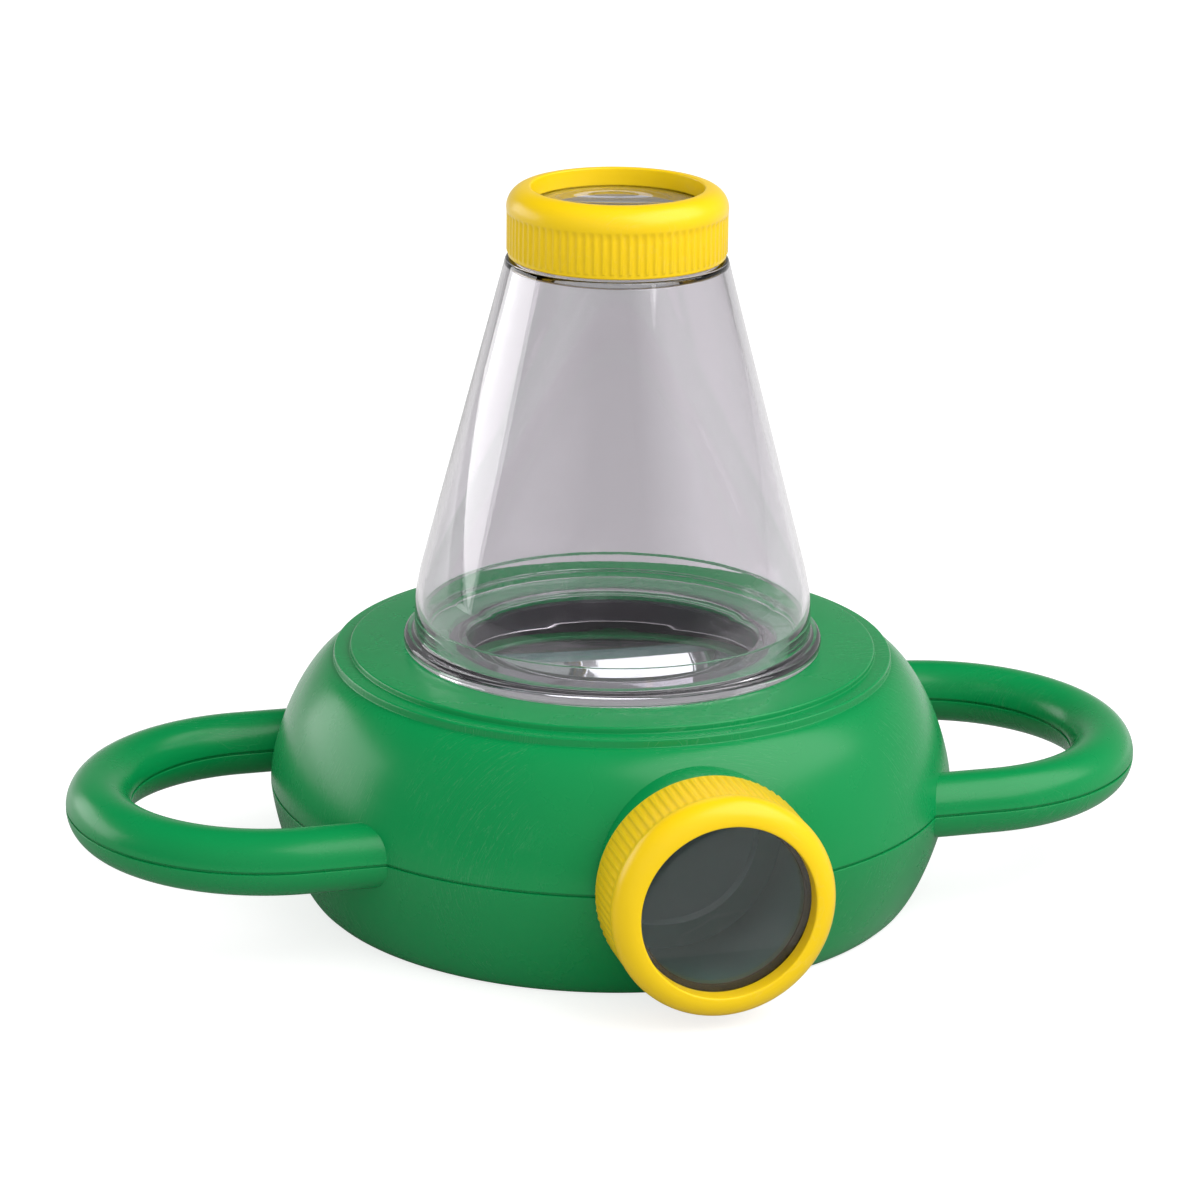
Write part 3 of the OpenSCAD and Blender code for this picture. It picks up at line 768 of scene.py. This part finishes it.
def lower_shell():
    """Green bowl with its floor, seam lip, screw posts and half of both handles."""
    body = chosen("body")
    r, w, g = body.radius, body.wall, body.groove
    fine, rim = 0.3 * MM, 0.8 * MM
    bowl = shell_curve(r, body.base_radius, SEAM_Z, -SEAM_Z, body.bowl_curve)
    corners = [(0, 0), (body.base_radius, 0, rim)]
    corners += [p for p in reversed(bowl) if rim + 0.1 * MM < p[1] < SEAM_Z - g]
    corners += [(r, SEAM_Z - g / 2, g / 3), (r - g, SEAM_Z - g / 2), (r - g, SEAM_Z)]
    corners += [*inner_curve(body, False, w)[:-1], (body.base_radius - w, body.floor, fine), (0, body.floor)]
    shell = lathe("lower_shell_moulding", rounded(corners), ROUND)
    loops, space, boss = attachments(body, False)
    lip_out, lip_in, held = r - w - 0.3 * MM, r - w - 1.6 * MM, r - w / 2
    profile = [(lip_in, -3), (lip_out, -3), (held, -2), (held, -1), (lip_out, -1), (lip_out, 1.5),
               (lip_in, 1.5)]
    lip = lathe("lip", [(x, SEAM_Z + up * MM) for x, up in profile], ROUND)
    reach, half = body.handle_radius + 0.2 * MM, 30 * MM
    cut(lip, *(slab("gate", (x - half, y - reach, 0), (x + half, y + reach, LEDGE_Z))
               for x in (-body.ledge_radius, body.ledge_radius) for y in (-body.arm, body.arm)))
    cut(lip, slab("gate", (-body.boss_radius, -2 * r, 0), (body.boss_radius, 0, LEDGE_Z)))
    places = post_places(body)
    posts = pin("posts", body.post, body.floor / 2, SEAM_Z, places)
    ears, ear_z = [(x, EAR_Y) for x in (-EAR_X, EAR_X)], LIGHT_BOX_LOW.z
    add(shell, loops, lip, boss, posts, pin("seats", 4 * MM, body.floor / 2, ear_z, ears))
    cut(shell, space, boss_bore(body),
        pin("counterbores", 3.3 * MM, -1 * MM, 13 * MM, places),
        pin("holes", 1.7 * MM, 12 * MM, SEAM_Z + 1 * MM, places),
        pin("pilots", PILOT_RADIUS, ear_z - 2.7 * MM, ear_z + 1 * MM, ears))
    finish_piece(shell, "moulded_green", "base", "lower_shell")


# Jar, stage and optics

def thread_ridge(root_r, crest_r, start_z, start_turn, place=None):
    """One helical ridge with a trapezoid section that climbs anticlockwise."""
    ring = chosen("ring")
    per_turn, run_out, least = 96, 6, 0.3
    steps = round(ring.thread_turns * per_turn)
    half_root, half_crest = ring.thread_root / 2, ring.thread_crest / 2
    sections = []
    for i in range(steps + 1):
        turn = i / per_turn
        fade = min(1, i / run_out, (steps - i) / run_out)
        crest = root_r + (crest_r - root_r) * max(fade, least)
        way = start_turn + 2 * pi * turn
        z = start_z + ring.pitch * turn
        profile = ((root_r, -half_root), (crest, -half_crest), (crest, half_crest), (root_r, half_root))
        sections.append([(r * cos(way), r * sin(way), z + dz) for r, dz in profile])
    return loft("ridge", sections, place)


def neck_thread(place):
    """The ridge on a neck that a ring screws on."""
    jar, ring = chosen("jar"), chosen("ring")
    low = ring.pitch / 2 - 0.1 * MM
    return thread_ridge(jar.neck_radius - THREAD_ROOT, jar.neck_radius + ring.thread_height, low, 0, place)


def clear_jar():
    """Clear conical jar with flange, skirt, foot and threaded neck."""
    jar = chosen("jar")
    flange_z = LEDGE_Z + jar.gap
    flange_top, floor_top = flange_z + jar.flange, flange_z + jar.floor
    skirt_top, band_top = LEDGE_Z + jar.skirt, LEDGE_Z + jar.band
    shoulder_low = jar.shoulder - jar.wall
    skirt_in = jar.skirt_radius - jar.wall
    band_in, foot_in = skirt_in - jar.band_width, jar.foot_radius - jar.foot_wall
    fine, soft, bend_out, bend_in = 0.25 * MM, 0.6 * MM, 40 * MM, 28 * MM
    corners = [(foot_in, JAR_LOW.z, fine), (jar.foot_radius, JAR_LOW.z, fine),
               (jar.foot_radius, flange_z, fine), (JAR_HIGH.x, flange_z, soft),
               (JAR_HIGH.x, flange_top, 1.2 * MM), (jar.skirt_radius, flange_top, 0.9 * MM),
               (jar.skirt_radius, skirt_top, bend_out), (jar.shoulder_radius, jar.shoulder, 0.7 * MM),
               (jar.neck_radius, jar.shoulder, fine), (jar.neck_radius, JAR_HIGH.z, fine),
               (jar.neck_bore, JAR_HIGH.z, fine), (jar.neck_bore, shoulder_low, fine),
               (jar.shoulder_radius - jar.wall, shoulder_low, soft), (skirt_in, skirt_top, bend_in),
               (skirt_in, band_top, fine), (band_in, band_top, fine), (band_in, floor_top, fine),
               (foot_in, floor_top, fine)]
    piece = lathe("clear_jar", rounded(corners), jar.turns)
    add(piece, neck_thread(CAP_PLACE))
    finish_piece(piece, "clear_moulding", "jar", "cone_chamber")


def flat_ring(name, inner, outer, low, high, edge, turns, place=None):
    """A flat ring with rounded edges, or a disc when its inner radius is 0."""
    inside = edge if inner else 0
    return lathe(name, rounded([(inner, low, inside), (outer, low, edge), (outer, high, edge),
                                (inner, high, inside)]), turns, place)


def stage_window():
    """Clear floor that the insect stands on."""
    piece = flat_ring("clear_floor", 0, WINDOW_HIGH.x, WINDOW_LOW.z, WINDOW_HIGH.z, 0.25 * MM,
                      chosen("jar").turns)
    finish_piece(piece, "clear_lens", "base", "stage_window")


def stage_ring():
    """Black ring that holds the clear floor down."""
    width, edge = 2.1 * MM, 0.3 * MM
    piece = flat_ring("black_stage_ring", STAGE_HIGH.x - width, STAGE_HIGH.x, STAGE_LOW.z, STAGE_HIGH.z,
                      edge, chosen("jar").turns)
    finish_piece(piece, "moulded_black", "base", "stage_ring")


def screw_ring(end, place, skirt):
    """Yellow screw ring with grip ribs, a rounded roll, a lens seat and an inner thread. Its
    side reaches back behind the thread's start by the skirt's length."""
    ring = chosen("ring")
    fine = 0.2 * MM
    centre_r, centre_z, foot_of_roll = ring.radius - ring.roll, ring.depth - ring.roll, -9
    rib_start, run_in, run_out = ring.rib_start - skirt, 0.35 * MM, 1 * MM
    rib_end = centre_z + ring.roll * sin(radians(foot_of_roll)) - 0.5 * MM
    lows = [(ring.bore_radius, -skirt, fine), (ring.side_radius, -skirt, 0.45 * MM)]
    side = [(ring.side_radius, z) for z in (rib_start, rib_start + run_in, rib_end - run_out, rib_end)]
    roll = arc(centre_r, centre_z, ring.roll, foot_of_roll, 90, 24)
    inner = [(ring.hole_radius, ring.depth, 0.4 * MM), (ring.hole_radius, ring.lip_low, fine),
             (ring.seat_radius, ring.lip_low, fine), (ring.seat_radius, ring.seat_low, fine),
             (ring.bore_radius, ring.seat_low, fine)]
    outline = rounded(lows + side + roll + inner)
    ribbed = [abs(r - ring.side_radius) < 1e-6 and rib_start + 0.3 * MM < z < rib_end + 0.01 * MM
              for r, z in outline]
    half_width, slope = 0.72, 0.5

    def rib(index, angle):
        if not ribbed[index]:
            return 0
        phase = abs((angle * ring.ribs / (2 * pi) + 0.5) % 1 - 0.5) * 2
        rise = min(1, max(0, (half_width - phase) / slope))
        return ring.rib * rise * rise * (3 - 2 * rise)

    piece = lathe(f"yellow_{end}_ring", outline, ring.ribs * 8, None, rib)
    low = ring.pitch / 2 - 0.2 * MM
    turn = 2 * pi * (-0.1 * MM - ring.pitch / 2) / ring.pitch
    add(piece, thread_ridge(ring.bore_radius + THREAD_ROOT, ring.bore_radius - ring.thread_height, low, turn))
    piece.data.transform(place)
    finish_piece(piece, "moulded_yellow", end, f"{end}_ring", 40)


def lens(end, place):
    """Clear biconvex magnifier."""
    ring = chosen("ring")
    r, steps = LENS_HIGH.x, 30
    centre = (LENS_LOW.z + LENS_HIGH.z) / 2 - CAP_LOW.z
    curve = ring.lens_curve
    top = ring.lens_edge / 2 - sqrt(curve ** 2 - r ** 2)
    reaches = [r * i / steps for i in range(steps + 1)]
    face = [(reach, top + sqrt(curve ** 2 - reach ** 2)) for reach in reaches]
    outline = [(x, centre - z) for x, z in face] + [(x, centre + z) for x, z in reversed(face)]
    piece = lathe(f"{end}_magnifier", outline, SMALL_ROUND, place)
    finish_piece(piece, "clear_lens", f"{end}_optic", f"{end}_lens")


def lens_retainer(end, place):
    """Black ring that holds a lens against its lip."""
    width, edge = 2.2 * MM, 0.25 * MM
    low, high, outer = RETAINER_LOW.z - CAP_LOW.z, RETAINER_HIGH.z - CAP_LOW.z, RETAINER_HIGH.x
    piece = flat_ring(f"{end}_retainer", outer - width, outer, low, high, edge, RETAINER_ROUND, place)
    finish_piece(piece, "moulded_black", f"{end}_optic", f"{end}_lens_retainer")


def eyepiece_tube():
    """Dark tube with the threaded neck that the eyepiece ring screws on."""
    jar = chosen("jar")
    back = EYE_START_Y - TUBE_HIGH.y
    front, edge = back + 2.4 * MM, 0.3 * MM
    corners = [(jar.neck_bore, back), (TUBE_HIGH.x, back), (TUBE_HIGH.x, front), (jar.neck_radius, front),
               (jar.neck_radius, jar.neck), (jar.neck_bore, jar.neck)]
    piece = lathe("eyepiece_spigot", rounded([(*corner, edge) for corner in corners]), jar.turns)
    add(piece, neck_thread(None))
    piece.data.transform(EYEPIECE_TURN)
    finish_piece(piece, "moulded_slate", "base", "eyepiece_tube")


def mirror_plate():
    """Silvered plate with ground edges, at 45 degrees under the clear floor."""
    thick, half_l = 2 * MM, (MIRROR_HIGH.z - EYE_Z) * sqrt(2)
    piece = slab("silvered_mirror", (MIRROR_LOW.x, -half_l, -thick), (MIRROR_HIGH.x, half_l, 0))
    outward(piece, bevel=0.25 * MM)
    piece.data.transform(Matrix.Translation((0, 0, EYE_Z)) @ Matrix.Rotation(pi / 4, 4, "X"))
    finish_piece(piece, "silvered_glass", "base", "mirror")


# Stage

def mirrored_ray(path):
    """1 for a ray that a glossy surface mirrors, and 0 for one that has passed through it."""
    return (path["Is Glossy Ray"] - path["Is Transmission Ray"]).clamped()


def paper_floor(settings):
    """Floor that keeps the object's shadow and looks white to the camera. Through clear plastic it glows
    grey, with painted light that makes it glow brighter to the right and a little to the left; in gloss its
    rear glows pale, a painted reflection."""
    start, width, left_share = 10 * MM, 22 * MM, 0.35
    rear_start, rear_width = 60 * MM, 80 * MM
    material, tree, shader = new_material(
        "pale_floor", Roughness=0.9, Base_Color=(settings.floor_tone,) * 3, Specular_IOR_Level=0.0,
        Emission_Color=(1, 1, 1))
    path = values_of(tree, add_node(tree, "LightPath"))
    x, y = axes(tree)[:2]
    across = x * cos(settings.azimuth) + y * sin(settings.azimuth)
    right = ((across - start) / width).clamped()
    left = ((across * -1.0 - start) / width).clamped()
    # painted light: the floor glows brighter beside the middle, only for rays through clear plastic
    painted_side_glow = right.math("MAXIMUM", left * left_share)
    through = painted_side_glow * settings.floor_side + settings.floor_through
    # painted reflection: the floor's rear glows only for mirrored rays
    rear = ((y - rear_start) / rear_width).clamped()
    sheen = rear * settings.floor_sheen * mirrored_ray(path)
    feed(tree, shader, {"Emission Strength": path["Is Camera Ray"] * settings.floor_glow
                                             + path["Is Transmission Ray"] * through + sheen})
    return material


def studio_world(settings):
    """Even room light, white to the camera. Clear plastic shows a grey backdrop, and gloss
    shows one behind and to the right."""
    rise, to_right, to_rear, contrast, middle = 1.6, 0.75, 0.65, 1.4, 0.25
    world = bpy.data.worlds.new("studio")
    bpy.context.scene.world = world
    world.use_nodes = True
    tree = world.node_tree
    path = values_of(tree, add_node(tree, "LightPath"))
    x, y, up = axes(tree, "Generated")
    through = (up * rise).clamped() * (settings.overhead - settings.horizon) + settings.horizon
    facing = ((x * to_right + y * to_rear) * contrast + middle).clamped()
    low = (up * -rise + 1.0).clamped()
    sheen = facing * low * settings.gloss
    room = (y * -settings.front + settings.ambient).math("MAXIMUM", settings.back)
    lit = room + mirrored_ray(path) * (sheen - room) + path["Is Transmission Ray"] * (through - room)
    feed(tree, tree.nodes["Background"], {"Color": (1, 1, 1),
                                          "Strength": path["Is Camera Ray"].math("MAXIMUM", lit)})


def bearing(azimuth, elevation):
    """The direction that these angles name. Azimuth 0 is in front and 90 degrees on the right."""
    level = cos(elevation)
    return Vector((sin(azimuth) * level, -cos(azimuth) * level, sin(elevation)))


def soft_lamp(name, azimuth, elevation, distance, width, height, power):
    """A rectangular soft box that faces the object, at a bearing in degrees."""
    data = bpy.data.lights.new(name, "AREA")
    data.shape, data.size, data.size_y, data.energy = "RECTANGLE", width, height, power
    lamp = new_object(name, data)
    away, aim = bearing(radians(azimuth), radians(elevation)), Vector((0, 0, 60 * MM))
    lamp.location = aim + away * distance
    lamp.rotation_euler = (-away).to_track_quat("-Z", "Y").to_euler()
    lamp.visible_camera = False


def studio_camera(settings):
    """Camera at the photograph's viewing angle."""
    data = bpy.data.cameras.new("camera")
    data.sensor_width, data.lens, data.shift_x = 36, settings.focal, settings.shift
    camera = new_object("camera", data)
    back = bearing(settings.azimuth, settings.elevation)
    camera.location = Vector((0, 0, settings.target)) + back * settings.distance
    turn = (-back).to_track_quat("-Z", "Y").to_matrix().to_4x4() @ Matrix.Rotation(settings.roll, 4, "Z")
    camera.rotation_euler = turn.to_euler()
    data.clip_start, data.clip_end = 0.01, 20
    bpy.context.scene.camera = camera


def build_stage():
    """Camera, floor, room light and soft boxes."""
    settings = chosen("stage")
    studio_camera(settings)
    studio_world(settings)
    reach, gap = 3.0, 0.02 * MM
    corners = [(x * reach, y * reach, -gap) for x, y in ((-1, -1), (1, -1), (1, 1), (-1, 1))]
    floor = new_piece("floor", corners, [(0, 1, 2, 3)])
    floor.data.materials.append(paper_floor(settings))
    soft_lamp("key_box", azimuth=54, elevation=51, distance=1.2, width=1.5, height=1.1, power=12.5)
    soft_lamp("left_box", azimuth=-128, elevation=12, distance=1.2, width=1.0, height=0.5, power=4.6)
    bpy.context.scene.view_settings.view_transform = "Standard"


# Operators

def dress_node(node, finish):
    """Gives a piece whose solid is carried over its finish."""
    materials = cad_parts[node].data.materials
    materials.clear()
    materials.append(material_named(finish))


class PieceOperator:
    """What every operator of this file shares."""

    bl_options = {"REGISTER", "UNDO"}

    def execute(self, context):
        for step in self.steps:
            step()
        return {"FINISHED"}


class VIEWER_OT_upper_shell(PieceOperator, bpy.types.Operator):
    """Build the green dome with its ledge, well and handle halves"""

    bl_idname, bl_label, steps = "insect_viewer.upper_shell", "Upper shell", [upper_shell]


class VIEWER_OT_lower_shell(PieceOperator, bpy.types.Operator):
    """Build the green bowl with its floor, posts and handle halves"""

    bl_idname, bl_label, steps = "insect_viewer.lower_shell", "Lower shell", [lower_shell]


class VIEWER_OT_clear_jar(PieceOperator, bpy.types.Operator):
    """Build the clear conical jar"""

    bl_idname, bl_label, steps = "insect_viewer.clear_jar", "Clear jar", [clear_jar]


class VIEWER_OT_stage_parts(PieceOperator, bpy.types.Operator):
    """Build the clear floor and the black ring that holds it"""

    bl_idname, bl_label = "insect_viewer.stage_parts", "Clear floor and ring"
    steps = [stage_window, stage_ring]


class VIEWER_OT_screw_rings(PieceOperator, bpy.types.Operator):
    """Build the two yellow screw rings"""

    bl_idname, bl_label = "insect_viewer.screw_rings", "Screw rings"
    steps = [partial(screw_ring, "cap", CAP_PLACE, 0),
             partial(screw_ring, "eyepiece", EYEPIECE_TURN, EYE_SKIRT)]


class VIEWER_OT_lenses(PieceOperator, bpy.types.Operator):
    """Build the two magnifiers and the rings that hold them"""

    bl_idname, bl_label = "insect_viewer.lenses", "Lenses"
    steps = [partial(build, end, place) for build in (lens, lens_retainer)
             for end, place in (("cap", CAP_PLACE), ("eyepiece", EYEPIECE_TURN))]


class VIEWER_OT_periscope(PieceOperator, bpy.types.Operator):
    """Build the eyepiece's tube and the mirror"""

    bl_idname, bl_label = "insect_viewer.periscope", "Tube and mirror"
    steps = [eyepiece_tube, mirror_plate]


class VIEWER_OT_carried_over(PieceOperator, bpy.types.Operator):
    """Dress the light box in dark plastic and the screws in zinc-plated steel"""

    bl_idname, bl_label = "insect_viewer.carried_over", "Light box and screws"
    steps = [partial(dress_node, "mirror_housing", "moulded_slate"),
             partial(dress_node, "shell_screws", "zinc_steel"),
             partial(dress_node, "housing_screws", "zinc_steel")]


class VIEWER_OT_stage(PieceOperator, bpy.types.Operator):
    """Set up the camera, the pale floor and the soft studio light"""

    bl_idname, bl_label, steps = "insect_viewer.stage", "Studio", [build_stage]


OPERATORS = (VIEWER_OT_stage, VIEWER_OT_lower_shell, VIEWER_OT_upper_shell, VIEWER_OT_clear_jar,
             VIEWER_OT_stage_parts, VIEWER_OT_screw_rings, VIEWER_OT_lenses, VIEWER_OT_periscope,
             VIEWER_OT_carried_over)


class VIEWER_PT_pieces(bpy.types.Panel):
    """Lists what builds each piece of the insect viewer"""

    bl_idname, bl_label = "VIEWER_PT_pieces", "Insect Viewer"
    bl_space_type, bl_region_type, bl_category = "VIEW_3D", "UI", "Insect Viewer"

    def draw(self, context):
        for operator in OPERATORS:
            self.layout.operator(operator.bl_idname)
        for group in GROUPS:
            box = self.layout.box()
            box.label(text=GROUPS[group].__doc__)
            for name in GROUPS[group].__annotations__:
                box.prop(getattr(context.scene, group), name)


GROUPS = {"viewer_body": BodySizes, "viewer_jar": JarSizes, "viewer_ring": RingSizes,
          "viewer_colours": Colours, "viewer_stage": StageSettings}


CLASSES = (*GROUPS.values(), *OPERATORS, VIEWER_PT_pieces)


def register():
    for kind in CLASSES:
        bpy.utils.register_class(kind)
    for name, kind in GROUPS.items():
        setattr(bpy.types.Scene, name, PointerProperty(type=kind))


def unregister():
    for name in GROUPS:
        delattr(bpy.types.Scene, name)
    for kind in reversed(CLASSES):
        bpy.utils.unregister_class(kind)


def main():
    """Builds every piece in order."""
    register()
    for operator in OPERATORS:
        group, name = operator.bl_idname.split(".")
        getattr(getattr(bpy.ops, group), name)()


if __name__ == "__main__":
    main()
